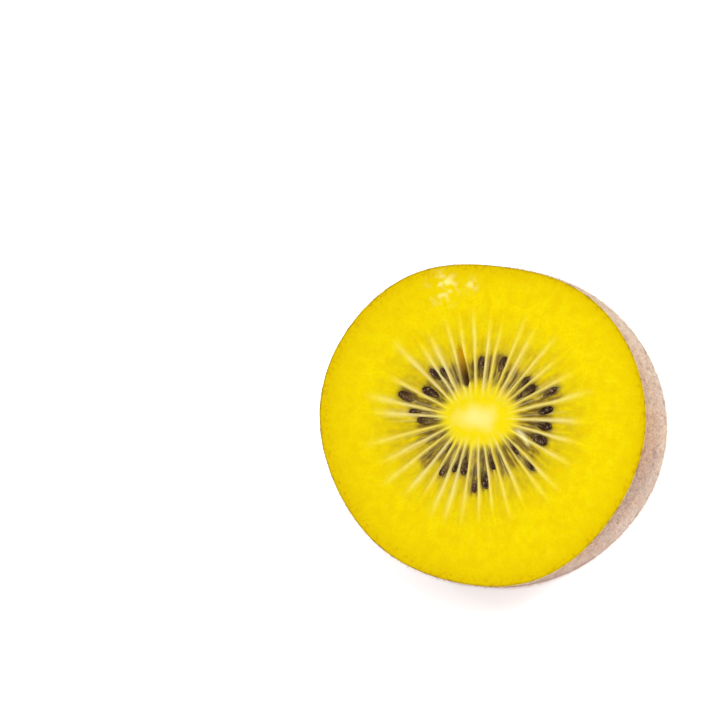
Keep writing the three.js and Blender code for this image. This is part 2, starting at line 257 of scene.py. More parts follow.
# Painted light: the skin is painted paler on its upper side near the cut, by y and then by z in the fruit
# frame.
PAINTED_LIGHT_SIDE_FADE = (2, 20)
PAINTED_LIGHT_TOP_FADE = (-15, -4)
SCAR_SUNK = 0.5  # the skin passes this far below the scar piece
SUNK_RING_EDGE = (-0.6, 0.1)
SUNK_PIT_EDGE = (1.3, 2)  # in the pit's radii
INNER_RISE = 2.5  # and what is under the skin this far
INNER_RISE_EDGE = (2.2, 5.5)
FLOOR_CLEARANCE = 0.25  # of the inner surfaces over the flat resting spot

SCAR_STEPS = 260
SCAR_RINGS = 80
SCAR_MARGIN = 0.35  # how far the piece reaches past the ring
LUMP_NOISE = (1.2, 4.4)
LUMP_HEIGHT = 0.28
SPLINTER_NOISE = (0.7, 9.0)
SPLINTER_HEIGHT = 0.2
SPLINTER_STRETCH = (6.0, 0.3)  # the noise changes this fast round the scar and outwards
FLAKE_NOISE = (0.75, 9.1)
FLAKE_DEPTH = 0.5
CRUMB_NOISE = (0.3, 2.0)
CRUMB_HEIGHT = 0.1
PIT_ROUGHNESS = 0.25  # share of that relief kept in the pit and at the edge
ROUGH_FADE = (0.88, 1)  # share of the piece's radius, as for the next two
WOODY_FADE = (0.9, 1)
SUNK_FADE = (0.93, 1)
UNDER_SHARES = (0.7, 0.35)  # of the piece's radius, for the rings of its underside
UNDER_DEPTH = 1.2
UNDER_END_DEPTH = 1.9
PIT_TONE_EDGE = (0.9, 1.45)  # in the pit's radii
HOLLOW_LEVEL = 0.1
HOLLOW_GAIN = 2.6

HAIRS = 48000  # drawn for each of the two pieces of fuzz, before the bare places are left out
SHORT_HAIR = {"lengths": (0.2, 0.5), "radius": 0.024, "leans": (40, 82), "draw": 23}
LONG_HAIR = {"lengths": (0.35, 0.9), "radius": 0.015, "leans": (5, 60), "draw": 29}
HAIR_ROOT = 0.01  # how deep a hair is set into the skin
LOWEST_ROOT = 0.3  # above the floor
LOWEST_TIP = 0.05
BARE_RING = 0.8  # round the scar
BROWN_EDGE = (-0.8, -0.3)  # hairs turn brown towards the cut, by height in the fruit frame
# Painted shade: hairs near the floor are painted browner, as in shadow.
PAINTED_SHADE_HEIGHTS = (5, 24)  # and towards the floor, from the second height above it to the first

FLESH_SEED = 5  # of the random draws for the rays' looks,
SHADE_SEED = 3  # for the pockets' shade
COAT_SEED = 17  # and for the seeds


def smoothstep(value, low, high):
    """0 below low, 1 above high and smooth between."""
    share = np.clip((value - low) / (high - low), 0, 1)
    return share * share * (3 - 2 * share)


def past(distance, edge, offsets):
    """0 inside the first offset from an edge, 1 outside the second and smooth between."""
    return smoothstep(distance, edge + offsets[0], edge + offsets[1])


def past_shares(distance, edge, shares):
    """0 inside the first share of an edge's distance, 1 outside the second and smooth between."""
    return smoothstep(distance, shares[0] * edge, shares[1] * edge)


def mix(a, b, share):
    return a + (b - a) * share


def smooth_steps(value, places, levels):
    """A smooth curve through levels at places, level at each of them."""
    value = np.clip(value, places[0], places[-1])
    spot = np.clip(np.searchsorted(places, value, side="right") - 1, 0, len(places) - 2)
    places, levels = np.asarray(places, float), np.asarray(levels, float)
    share = (value - places[spot]) / (places[spot + 1] - places[spot])
    return mix(levels[spot], levels[spot + 1], share * share * (3 - 2 * share))


def bell(offset, width, power=2):
    """1 where offset is 0, and next to nothing where it is well past width."""
    return np.exp(-((offset / width) ** power))


def make_random(seed):
    """The part's repeatable draw between 0 and 1 (mulberry32)."""
    word = 0xFFFFFFFF
    state = seed

    def draw():
        nonlocal state
        state = (state + 0x6D2B79F5) & word
        mixed = ((state ^ (state >> 15)) * (1 | state)) & word
        mixed = ((mixed + (mixed ^ (mixed >> 7)) * (61 | mixed)) & word) ^ mixed
        return (mixed ^ (mixed >> 14)) / 4294967296

    return draw


def grain(points, size, offset=0.0):
    """Smooth noise of that grain size at each point, between about -1 and 1."""
    scaled = np.asarray(points, float) / size + offset
    return np.array([noise.noise(Vector(point)) for point in scaled])


def grain_on(grid_x, grid_y, size, offset=0.0):
    """The same noise on a grid of places given by two coordinates."""
    flat = np.stack((grid_x, grid_y, np.zeros_like(grid_x)), -1).reshape(-1, 3)
    return grain(flat, size, offset).reshape(grid_x.shape)


def rim_nicks(angle):
    """How far down the knife and the torn skin nick the rim of the cut at an angle."""
    x, y = MEAN_RADIUS * np.cos(angle), MEAN_RADIUS * np.sin(angle)
    coarse, fine = (grain_on(x, y, size) for size in NICK_SIZES)
    return RIM_NICK * np.clip(NICK_LEVEL + coarse + FINE_NICKS * fine, 0, 1)


# ---- Form of the fruit, as in the part's source ----


def oval_radius(radii, angle, turn=CORE_TURN):
    return 1 / np.hypot(np.cos(angle - turn) / radii[0], np.sin(angle - turn) / radii[1])


def outline_radius(angle, depth_share):
    radius = MEAN_RADIUS
    for lobes, height, turn in OUTLINE_WAVES:
        kept = 1 if lobes == 2 else 1 - depth_share
        radius = radius + kept * height * np.cos(lobes * angle - math.radians(turn))
    return radius


def scar_lumps(angle):
    return sum(height * np.cos(count * angle - math.radians(turn)) for count, height, turn in SCAR_LUMPS)


def scar_edge(angle):
    return SCAR_RADIUS * (1 + SCAR_LUMP_SPREAD * scar_lumps(angle))


def dimple(distance):
    return DIMPLE_DEPTH * bell(distance, DIMPLE_RADIUS)


def dimple_and_moat(angle, distance):
    from_moat = distance - scar_edge(angle) - SCAR_MOAT_OFFSET
    return dimple(distance) + SCAR_MOAT_DEPTH * bell(from_moat, SCAR_MOAT_WIDTH)


def scar_relief(angle, distance):
    """Relief of the stem end along the axis, with the scar's ring and pit."""
    pit_edge = oval_radius(SCAR_PIT_RADII, angle, 0)
    outside = past(distance, scar_edge(angle), SCAR_SHOULDER)
    inside = 1 - past_shares(distance, pit_edge, SCAR_RING_BROW)
    ring = SCAR_HEIGHT * (1 + scar_lumps(angle)) * (1 - outside) * (1 - inside)
    pit = SCAR_PIT_DEPTH * (1 - past_shares(distance, pit_edge, SCAR_PIT_FLOOR))
    return dimple_and_moat(angle, distance) - ring + pit


def skin_relief(angle, distance):
    """The same without the scar piece, below which the skin runs on."""
    pit_edge = oval_radius(SCAR_PIT_RADII, angle, 0)
    below_ring = SCAR_SUNK * (1 - past(distance, scar_edge(angle), SUNK_RING_EDGE))
    below_pit = SCAR_PIT_DEPTH * (1 - past_shares(distance, pit_edge, SUNK_PIT_EDGE))
    return dimple_and_moat(angle, distance) + below_ring + below_pit


def inner_relief(_, distance):
    """The same for the surfaces under the skin, which pass well below the scar."""
    return dimple(distance) + INNER_RISE * (1 - past(distance, SCAR_RADIUS, INNER_RISE_EDGE))


def side_points(angle, share, relief):
    """Points of the rounded side: share 0 is the axis and 1 the rim of the cut."""
    depth_share = (1 - share * share) ** (1 / SIDE_FULLNESS)
    distance = share * outline_radius(angle, depth_share)
    z = -DEPTH * depth_share + relief(angle, distance)
    return np.stack((distance * np.cos(angle), distance * np.sin(angle), z), -1)


def inner_points(angle, share):
    """Points of the surface that lies a skin's thickness in."""
    thickness = mix(SKIN_THICKNESS, RIM_THICKNESS, smoothstep(share, *THINNING_FADE))
    scale = 1 - thickness / MEAN_RADIUS
    return side_points(angle, share, inner_relief) * scale[..., None]


def inner_rings(angles, rings, start=0.0):
    """Rings of points of that surface, from the rim almost to the axis."""
    shares = np.cos(np.linspace(start, math.pi / 2, rings + 1)[:-1])
    angle, share = np.meshgrid(angles, shares)
    return inner_points(angle, share).reshape(-1, 3)


def ray_angles():
    """Angle of every ray, and of the first one again after a full turn."""
    random = make_random(RAY_DRAWS)
    gap = 2 * math.pi / RAYS
    rays = [math.radians(FIRST_RAY) + gap * (ray + RAY_JITTER * (random() - 0.5)) for ray in range(RAYS)]
    return np.array(rays + [rays[0] + 2 * math.pi])


def ray_lean(angle, distance):
    """How far a ray has swung round at a distance: rays leave the oval core almost square to its edge."""
    swing = RAY_OFFSET * np.sin(2 * (angle - CORE_TURN))
    return swing * (1 / RAY_HOME - 1 / np.maximum(distance, CORE_RADII[1]))


def along_ray(angle, distance):
    """Where the ray of an angle passes at a distance from the core's middle, and its direction there."""
    swung = angle + ray_lean(angle, distance)
    x = CORE_CENTRE[0] + distance * math.cos(swung)
    y = CORE_CENTRE[1] + distance * math.sin(swung)
    return x, y, swung + RAY_OFFSET * math.sin(2 * (angle - CORE_TURN)) / distance


def count_seeds(draw):
    """How many seeds a pocket shows, from a draw between 0 and 1."""
    if draw < EMPTY_SHARE:
        return 0
    return 2 if draw < EMPTY_SHARE + PAIR_SHARE else 1


def seed_places(rays):
    """(angle, distance, turn, size, pocket) of every seed, drawn as in the part's source."""
    random = make_random(SEED_DRAWS)
    places = []
    for ray in range(RAYS):
        count = count_seeds(random())
        for place, reach in enumerate((1, SECOND_SEED)):
            angle = mix(rays[ray], rays[ray + 1], 0.5 + SEED_SWAY * (random() - 0.5))
            scatter = 1 + SEED_SCATTER * (2 * random() - 1)
            turn = math.radians(SEED_TURN * (random() - 0.5))
            size = mix(*SEED_SIZES, random())
            if place < count:
                places.append((angle, reach * scatter * oval_radius(SEED_RADII, angle), turn, size, ray))
    return places


# ---- From the fruit frame to the row frame ----

TURN = Matrix.Rotation(math.radians(90 - CUT_RISE), 3, "X")
BOX_GRID = (361, 121)  # points round the form and along it, enough to find its box
ON_AXIS = (np.zeros(1), np.zeros(1))  # angle and share of the point at the stem end


def find_shift():
    """Where the laid-down cut's middle lies: the form's box set against the CAD node's, in millimetres."""
    angle, share = np.meshgrid(np.linspace(0, 2 * math.pi, BOX_GRID[0]), np.linspace(0, 1, BOX_GRID[1]))
    laid = side_points(angle, share, scar_relief).reshape(-1, 3) @ np.array(TURN).T
    low, high = (np.array(corner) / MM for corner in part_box(NODE))
    middle = (low + high) / 2 - (laid.min(0) + laid.max(0)) / 2
    return np.array((middle[0], middle[1], high[2] - laid[:, 2].max()))


def lay_down(points, floor=0.0):
    """Points of the fruit frame as points of the row frame in metres, none lower than floor."""
    laid = points.reshape(-1, 3) @ np.array(TURN).T + SHIFT
    laid[:, 2] = np.maximum(laid[:, 2], floor)
    return laid * MM


def stand_up(points):
    """Points of the row frame in metres as points of the fruit frame."""
    return (points / MM - SHIFT) @ np.array(TURN)


# ---- Making meshes ----


def add_mesh(name, points, faces, material, fields):
    """A smooth-shaded piece from points in metres, with named values at its points for its material."""
    mesh = bpy.data.meshes.new(name)
    mesh.from_pydata([tuple(point) for point in points], [], faces)
    for field, values in fields.items():
        attribute = mesh.attributes.new(field, "FLOAT", "POINT")
        attribute.data.foreach_set("value", np.asarray(values, np.float32).ravel())
    mesh.shade_smooth()
    mesh.materials.append(material)
    piece = bpy.data.objects.new(name, mesh)
    bpy.context.scene.collection.objects.link(piece)
    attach(piece, BODY)
    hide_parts(NODE)
    return piece


def ring_faces(rings, steps, start=0):
    """Quads between each ring of points and the next."""
    ring, step = np.meshgrid(np.arange(rings - 1), np.arange(steps), indexing="ij")
    a = ring * steps + step
    b = ring * steps + (step + 1) % steps
    corners = np.stack((a, b, b + steps, a + steps), -1)
    return [tuple(face) for face in (corners.reshape(-1, 4) + start).tolist()]


def fan_faces(point, first, steps, outward):
    """Triangles from one point to a ring of points."""
    faces = []
    for step in range(steps):
        pair = (first + step, first + (step + 1) % steps)
        faces.append((point, *(pair if outward else pair[::-1])))
    return faces


# ---- Flesh ----


def distance_at(reach, angle):
    """Distance from the core's middle at a reach up to 3."""
    inner = np.zeros_like(angle)
    distance = np.zeros_like(angle)
    for zone, radii in enumerate((CORE_RADII, POCKET_RADII, RAY_RADII)):
        outer = oval_radius(radii, angle)
        distance = distance + (outer - inner) * np.clip(reach - zone, 0, 1)
        inner = outer
    return distance


def make_cut_grid(rays):
    """The cut as a grid of rings round the core: its x and y, and where each point lies in the pattern."""
    bunched = np.arange(STEPS_PER_RAY) / STEPS_PER_RAY
    bunched = bunched - STEP_BUNCHING * np.sin(2 * math.pi * bunched) / (2 * math.pi)
    angle = np.concatenate([mix(rays[ray], rays[ray + 1], bunched) for ray in range(RAYS)])
    reach = [zone + np.arange(1, rings + 1) / rings for zone, rings in enumerate(ZONE_RINGS)]
    reach, angle = np.meshgrid(np.concatenate(reach), angle, indexing="ij")
    swung = angle
    for _ in range(LEAN_ROUNDS):
        distance = distance_at(reach, swung)
        swung = angle + ray_lean(angle, distance)
    x = CORE_CENTRE[0] + distance * np.cos(swung)
    y = CORE_CENTRE[1] + distance * np.sin(swung)
    rim = (1 - RIM_THICKNESS / MEAN_RADIUS) * outline_radius(angle, 0)
    outer = np.clip(reach - 3, 0, 1)
    x = mix(x, rim * np.cos(angle), outer)
    y = mix(y, rim * np.sin(angle), outer)
    return SimpleNamespace(
        x=x,
        y=y,
        angle=angle,
        reach=reach,
        distance=np.hypot(x - CORE_CENTRE[0], y - CORE_CENTRE[1]),
        pocket=np.repeat(np.arange(RAYS), STEPS_PER_RAY),
        across=np.tile(bunched, RAYS),
        gap=np.repeat(np.diff(rays), STEPS_PER_RAY),
        to_rim=np.abs(rim - np.hypot(x, y)),
    )


def ray_noise(grid, nearest, length, offset=0.0):
    """Noise that changes along the rays and not across them, and differs from ray to ray."""
    nothing = 0 * grid.reach
    places = np.stack((grid.distance, nothing + nearest * RAYS_APART, nothing), -1).reshape(-1, 3)
    return grain(places, (length, 1, 1), offset).reshape(nothing.shape)


def faint_rays(grid, sway, draws):
    """How strongly each point shows one of the faint rays inside the pockets."""
    faint = 0
    for places in FAINT_RAY_PLACES:
        middle = draws.uniform(*places, RAYS)[grid.pocket]
        off_middle = (grid.across - middle) * grid.gap * grid.distance
        line = bell(off_middle - FAINT_RAY_SWAY * sway, FAINT_RAY_HALF_WIDTH)
        strength = draws.uniform(*FAINT_RAY_STRENGTHS, RAYS)[grid.pocket]
        faint = np.maximum(faint, strength * line)
    return faint


def ray_fields(grid, draws):
    """How strongly each point shows a pale ray, and how far it is from the nearest ray, in millimetres."""
    reach, across = grid.reach, grid.across
    nearest = (grid.pocket + (across > 0.5)) % RAYS
    limits = (RAY_STRENGTHS, RAY_ENDS, RAY_STARTS, RAY_BREADTHS)
    strength, end, start, breadth = (draws.uniform(*pair, RAYS)[nearest] for pair in limits)
    sway = RAY_SWAY * ray_noise(grid, nearest, *SWAY_NOISE) * smoothstep(reach, *SWAY_FADE)
    unevenness = mix(*LUSTRE_CHANGES, smoothstep(reach, *LUSTRE_FADE))
    lustre = LUSTRE + unevenness * ray_noise(grid, nearest, *LUSTRE_NOISE)
    beside = np.where(across > 0.5, across - 1, across) * grid.gap * grid.distance
    beside = np.abs(beside - sway)
    half_width = breadth * smooth_steps(reach, RAY_REACHES, RAY_HALF_WIDTHS)
    fade = past(reach, start, RAY_START_FADE) * (1 - past(reach, end, RAY_END_FADE))
    ray = strength * fade * lustre * bell(beside, half_width)
    faint = faint_rays(grid, sway, draws) * lustre
    faint = faint * smoothstep(reach, *FAINT_RAY_START_FADE) * (1 - smoothstep(reach, *FAINT_RAY_END_FADE))
    return np.clip(np.maximum(ray, faint), 0, 1), beside


def seed_stain(grid, shades):
    """How dark the seeds below the surface make each point: 1 over a shallow one, 0 away from them."""
    stain = np.zeros_like(grid.x)
    for angle, distance, turn, length, width, darkness in shades:
        x, y, heading = along_ray(angle, distance)
        heading = heading + turn
        dx = grid.x - x
        dy = grid.y - y
        along = (dx * math.cos(heading) + dy * math.sin(heading)) / (0.5 * length)
        beside = (dy * math.cos(heading) - dx * math.sin(heading)) / (0.5 * width)
        stain = np.maximum(stain, darkness * np.exp(-((along**2 + beside**2) ** 2)))
    return stain


def shade_tips(rays, seeds, draws):
    """How far out each pocket is shaded: to its outermost seed's tip, or a drawn distance."""
    tips = draws.uniform(*SHADE_TIPS, RAYS) * oval_radius(SEED_RADII, (rays[:-1] + rays[1:]) / 2)
    for _, distance, _, size, pocket in reversed(seeds):
        tips[pocket] = distance + SEED_TIP * SEED_STRETCH[0] * SEED_LENGTH * size
    return tips


def seed_shades(rays, seeds, tips, draws):
    """(angle, distance, turn, length, width, darkness) of what shows through: seeds and sunken seeds."""
    shades = []
    for angle, distance, turn, size, _ in seeds:
        length, width = SEED_LENGTH * size, SEED_WIDTH * size
        for shift, longer, wider, darkness in SEED_STAINS:
            middle = distance + shift * length
            shades.append((angle, middle, turn, longer * length, wider * width, darkness))
    for ray in range(RAYS):
        for reaches in SUNK_REACHES:
            angle = mix(rays[ray], rays[ray + 1], draws.uniform(*SUNK_PLACES))
            distance = draws.uniform(*reaches) * tips[ray]
            turn = math.radians(draws.uniform(*SUNK_TURNS))
            length, width = draws.uniform(*SUNK_LENGTHS), draws.uniform(*SUNK_WIDTHS)
            shades.append((angle, distance, turn, length, width, draws.uniform(*SUNK_SHADES)))
    return shades


def slit_pocket(rays):
    return int(np.searchsorted(rays, SLIT_ANGLE)) - 1


def slit_shape(grid, rays):
    """The slit in the pocket that gapes: 1 along its middle, 0 outside it."""
    pocket = slit_pocket(rays)
    middle = mix(rays[pocket], rays[pocket + 1], 0.5)
    distance = grid.distance
    beside = (grid.angle - middle) * distance
    width = smooth_steps(distance, SLIT_DISTANCES, SLIT_HALF_WIDTHS)
    starts = past(distance, SLIT_DISTANCES[0], SLIT_START_FADE)
    ends = past(distance, SLIT_DISTANCES[-1], SLIT_END_FADE)
    return starts * (1 - ends) * bell(beside, width, 4)


def juice_streak(grid):
    """The streak of juice, glossy and painted pale as a highlight: 1 along its middle, 0 outside it."""
    (start_x, start_y), (end_x, end_y) = STREAK_ENDS
    length = math.hypot(end_x - start_x, end_y - start_y)
    along_x, along_y = (end_x - start_x) / length, (end_y - start_y) / length
    dx, dy = grid.x - start_x, grid.y - start_y
    share = (dx * along_x + dy * along_y) / length
    beside = dy * along_x - dx * along_y - STREAK_SWAY * np.sin(math.pi * share)
    ends = smoothstep(share, 0, STREAK_FADE) * (1 - smoothstep(share, 1 - STREAK_FADE, 1))
    return ends * bell(beside, STREAK_HALF_WIDTH)


def round_spot(grid, spot, radius, power=2):
    """1 at a point of the cut and 0 well away from it."""
    return bell(np.hypot(grid.x - spot[0], grid.y - spot[1]), radius, power)


def juice_fields(grid):
    """The film of juice, the height of its ripples, and how wet each point is: glossier there, and painted
    pale cream as a highlight.
    """
    film, glint, drop = (round_spot(grid, **place) for place in (FILM, GLINT, DROP))
    fine = grain_on(grid.x, grid.y, *FINE_RIPPLE_NOISE)
    ripple = grain_on(grid.x, grid.y, *RIPPLE_NOISE) + FINE_RIPPLE_SHARE * fine
    crests = smoothstep(ripple + GLINT_RIPPLES * glint, *FILM_LEVELS)
    wet_and_painted_glint = film * crests * mix(*FILM_BRIGHTNESS, glint)
    wet_and_painted_glint = np.maximum(wet_and_painted_glint, drop * smoothstep(ripple, *DROP_LEVELS))
    return film, ripple, np.maximum(wet_and_painted_glint, STREAK_BRIGHTNESS * juice_streak(grid))


def strand_noise(grid, grain_size, offset=0.0):
    """Noise drawn out along the rays."""
    across, along = grain_size
    return grain_on(grid.angle / across, grid.distance / along, 1.0, offset)


def cut_patterns(grid):
    """The noises that make the flesh uneven."""
    fibre = strand_noise(grid, FIBRE_GRAIN)
    fine_fibre = strand_noise(grid, FINE_FIBRE_GRAIN, FINE_FIBRE_OFFSET)
    return SimpleNamespace(
        pulp=grain_on(grid.x, grid.y, *PULP_NOISE),
        swell=grain_on(grid.x, grid.y, *SWELL_NOISE),
        cloud=grain_on(grid.x, grid.y, *CLOUD_NOISE),
        fibre=fibre,
        fine_fibre=fine_fibre,
        strands=fibre + FINE_FIBRE_SHARE * fine_fibre,
        fleck=strand_noise(grid, FLECK_GRAIN, FLECK_OFFSET),
    )


def cut_relief(grid, patterns, ray, depth, walls):
    """Height of the cut at each point: raised core and rays, sunk pockets, fibres and a worn rim."""
    near_rim = np.exp(-grid.to_rim / RIM_SLOPE)
    return (
        CORE_RISE * (1 - smoothstep(grid.reach, *CORE_FADE))
        - POCKET_SINK * depth * walls * (1 + PULP_CHANGE * patterns.pulp)
        + RAY_RISE * ray
        + FIBRE_HEIGHT * smoothstep(grid.reach, *FIBRE_FADE) * patterns.fibre
        + SWELL_HEIGHT * patterns.swell * (1 - smoothstep(near_rim, *SWELL_FADE))
        - RIM_SINK * near_rim
        - rim_nicks(grid.angle) * np.exp(-grid.to_rim / NICK_SLOPE)
    )


def pocket_shades(grid, patterns, ray, walls, tips, shades):
    """How olive each point of the pockets is, and how strongly seeds below it show through."""
    reach, strands = grid.reach, patterns.strands
    halo_x = (grid.x - CORE_CENTRE[0] - HALO_OFFSET[0]) / HALO_RADII[0]
    halo_y = (grid.y - CORE_CENTRE[1] - HALO_OFFSET[1]) / HALO_RADII[1]
    past_halo = smoothstep(np.hypot(halo_x, halo_y) + HALO_FRAY * strands, *HALO_EDGE)
    tip = tips[grid.pocket] + TIP_FRAY * patterns.fine_fibre
    shaded = past_halo * (1 - past(grid.distance, tip, TIP_FADE))
    tinged = past_halo * smooth_steps(reach, TINGE_REACHES, TINGE_SHARES)
    streaks = np.clip(SHADE_STRANDS - SHADE_STRANDS * strands, 0, SHADE_LIMIT)
    olive = walls * (SHADE_STRENGTH * shaded + TINGE_STRENGTH * tinged) * streaks
    olive = np.clip(olive + SHADE_PULP * patterns.pulp * olive, 0, 1)
    stain = seed_stain(grid, shades) * np.clip(STAIN_LEVEL - STAIN_STRANDS * strands, 0, 1)
    return olive, stain * (1 - STAIN_UNDER_RAY * ray) * past_halo


def flesh_body(grid, height):
    """Points and faces of the flesh, the cut's rings first, and how many points lie below the cut."""
    rings, steps = height.shape
    top = np.stack((grid.x, grid.y, height), -1).reshape(-1, 3)
    middle = np.array(((CORE_CENTRE[0], CORE_CENTRE[1], CORE_RISE),))
    below = inner_rings(grid.angle[0], FLESH_INNER_RINGS, FLESH_INNER_START)
    points = np.concatenate((
        lay_down(np.concatenate((top, middle))),
        lay_down(np.concatenate((below, inner_points(*ON_AXIS))), FLOOR_CLEARANCE),
    ))
    first_below = rings * steps + 1
    faces = [face[::-1] for face in ring_faces(rings, steps)]
    last_ring = (rings - 1) * steps
    for step in range(steps):
        following = (step + 1) % steps
        faces.append((last_ring + following, last_ring + step, first_below + step, first_below + following))
    faces += [face[::-1] for face in ring_faces(FLESH_INNER_RINGS, steps, first_below)]
    faces += fan_faces(rings * steps, 0, steps, outward=True)
    last_below = first_below + len(below) - steps
    faces += fan_faces(len(points) - 1, last_below, steps, outward=False)
    return points, faces, len(below) + 1


def make_flesh(rays, tips, shades, material):
    """The golden flesh, one closed body: the cut with all its relief, and the side that the skin covers."""
    grid = make_cut_grid(rays)
    reach = grid.reach
    patterns = cut_patterns(grid)
    ray, beside = ray_fields(grid, np.random.default_rng(FLESH_SEED))
    walls = 1 - bell(beside, POCKET_WALL)
    depth = smooth_steps(reach, POCKET_REACHES, POCKET_DEPTHS)
    film, ripple, wet_and_painted_glint = juice_fields(grid)
    slit = slit_shape(grid, rays)
    height = cut_relief(grid, patterns, ray, depth, walls)
    height = mix(height, FILM_HEIGHT * ripple, film) - SLIT_DEPTH * slit
    olive, stain = pocket_shades(grid, patterns, ray, walls, tips, shades)
    # painted shade: the rim's deeper tone reaches further in on the side away from the light
    rim_reach = RIM_TONE_REACH - PAINTED_RIM_SHADE_SWAY * np.cos(grid.angle - PAINTED_RIM_SHADE_TURN)
    cream = reach + CREAM_CLOUDS * patterns.cloud + CREAM_FIBRES * patterns.fibre
    points, faces, below = flesh_body(grid, height)

    def field(values, middle=0.0):
        return np.concatenate((values.ravel(), [middle], np.zeros(below)))

    fields = {
        "ray": field(ray * (1 - SLIT_OVER_RAY * slit)),
        "pocket_zone": field(depth),
        "pocket": field(olive),
        "stain": field(stain),
        "slit": field(slit),
        "slit_floor": field(1 - smoothstep(grid.distance, *SLIT_FLOOR_FADE)),
        "film": field(film),
        "wet_and_painted_glint": field(wet_and_painted_glint),
        "fleck": field(smoothstep(patterns.fleck, *FLECK_LEVELS) * smoothstep(reach, *FLECK_FADE)),
        "core": field(1 - smoothstep(cream, *CREAM_FADE), 1.0),
        "halo": field(1 - smoothstep(reach + GLOW_FIBRES * patterns.fibre, *GLOW_FADE), 1.0),
        "fibre": field(patterns.fibre * smoothstep(reach, *FIBRE_FADE)),
        "near_rim": field(np.exp(-grid.to_rim / rim_reach)),
    }
    return add_mesh("flesh", points, faces, material, fields)


# ---- Seeds ----


def seed_form():
    """A unit seed: a flattened drop along X, its narrow end at -X."""
    points = [(-0.5, 0, 0)]
    for ring in range(1, SEED_RINGS):
        x = -0.5 * math.cos(math.pi * ring / SEED_RINGS)
        radius = math.sqrt(0.25 - x * x)
        width = radius * (1 + SEED_NARROWING * x)
        for step in range(SEED_STEPS):
            turn = 2 * math.pi * step / SEED_STEPS
            points.append((x, width * math.cos(turn), radius * math.sin(turn)))
    points.append((0.5, 0, 0))
    last = len(points) - 1
    faces = fan_faces(0, 1, SEED_STEPS, outward=False)
    faces += ring_faces(SEED_RINGS - 1, SEED_STEPS, 1)
    faces += fan_faces(last, last - SEED_STEPS, SEED_STEPS, outward=True)
    return np.array(points), faces


def seed_sink(angle, distance, in_slit):
    """How much deeper than in the part a seed sits, before its own draw."""
    inner = distance < INNER_SEEDS * oval_radius(SEED_RADII, angle)
    return SEED_SUNK + INNER_SINK * inner + 1 - smoothstep(distance, *CORE_SINK_FADE) + SLIT_SINK * in_slit


def make_seeds(seeds, slit, material):
    """Every seed that stands out of the cut, each with its own size, turn, tilt and faint dents."""
    draws = np.random.default_rng(COAT_SEED)
    form, form_faces = seed_form()
    points, faces, tones, veils = [], [], [], []
    for angle, distance, turn, size, pocket in seeds:
        scale = np.array(SEED_STRETCH) * (SEED_LENGTH * size, SEED_WIDTH * size, SEED_THICKNESS)
        dents = 1 + DENT_HEIGHT * grain(form, DENT_SIZE, draws.uniform(0, NOISE_SPAN))
        x, y, heading = along_ray(angle, distance)
        tilt = Matrix.Rotation(math.radians(draws.uniform(*SEED_TILTS)), 3, "Y")
        turned = np.array(Matrix.Rotation(heading + turn, 3, "Z") @ tilt)
        sink = seed_sink(angle, distance, pocket == slit) + draws.uniform(*SEED_SINKS)
        faces += [tuple(corner + len(points) * len(form) for corner in face) for face in form_faces]
        points.append((form * dents[:, None] * scale) @ turned.T + (x, y, SEED_LIFT - sink))
        tones.append(np.full(len(form), draws.uniform()))
        veil = VEIL_LIMIT * smoothstep(-form[:, 0], *VEIL_FADE) + draws.uniform(*VEIL_CHANGES)
        strand = grain(form, VEIL_GRAIN, draws.uniform(0, NOISE_SPAN))
        veils.append(np.clip(veil + VEIL_STRANDS * strand, 0, VEIL_LIMIT))
    fields = {"tone": np.concatenate(tones), "veil": np.concatenate(veils)}
    return add_mesh("seeds", lay_down(np.concatenate(points)), faces, material, fields)


# ---- Skin, scar and fuzz ----


def skin_outside(angles):
    """Rings of points of the skin's outside, from the stem end to the cut, faintly uneven."""
    near_rim = 1 - (np.array(RIM_DEPTHS) / DEPTH) ** SIDE_FULLNESS
    shares = np.append(np.sin(np.linspace(0, math.pi / 2, SKIN_RINGS)[1:-1]), np.sqrt(near_rim))
    angle, share = np.meshgrid(angles, shares)
    outer = side_points(angle, share, skin_relief).reshape(-1, 3)
    swell = sum(height * grain(outer, size, offset) for size, offset, height in SKIN_SWELLS)
    sunk = np.abs(swell) * (1 - smoothstep(share, *SETTLING_FADE).ravel())
    return outer - outer / np.linalg.norm(outer, axis=1)[:, None] * sunk[:, None]


def make_skin(material):
    """The thin brown skin, a closed shell with a visible rim round the cut."""
    angles = np.linspace(0, 2 * math.pi, SKIN_STEPS, endpoint=False)
    outer = skin_outside(angles)
    inner = inner_rings(angles, SKIN_INNER_RINGS)
    nick = rim_nicks(angles)[:, None] * (0, 0, 1)
    outer[-SKIN_STEPS:] -= nick
    inner[:SKIN_STEPS] -= nick
    lip = (outer[-SKIN_STEPS:] + inner[:SKIN_STEPS]) / 2 + (0, 0, LIP_HEIGHT)
    points = np.concatenate((
        lay_down(np.concatenate((outer, lip))),
        lay_down(np.concatenate((inner, inner_points(*ON_AXIS))), FLOOR_CLEARANCE),
        lay_down(side_points(*ON_AXIS, skin_relief)),
    ))
    count = len(points) - 2
    faces = ring_faces(count // SKIN_STEPS, SKIN_STEPS)
    faces += fan_faces(count, count - SKIN_STEPS, SKIN_STEPS, outward=True)
    faces += fan_faces(count + 1, 0, SKIN_STEPS, outward=False)

    def field(values, inside=0.0):
        return np.append(values, np.full(len(points) - len(outer), inside))

    x, y, z = outer.T
    fields = {
        "rim": field(1 - smoothstep(-z, *LIP_FADE), 1.0),
        "stem": field(bell(np.hypot(x, y), STEM_TONE_RADIUS) * (z < -0.5 * DEPTH)),
        # painted light: paler on the upper side near the cut
        "painted_top_light": field(smoothstep(y, *PAINTED_LIGHT_SIDE_FADE) * smoothstep(z, *PAINTED_LIGHT_TOP_FADE)),
    }
    return add_mesh("skin", points, faces, material, fields)


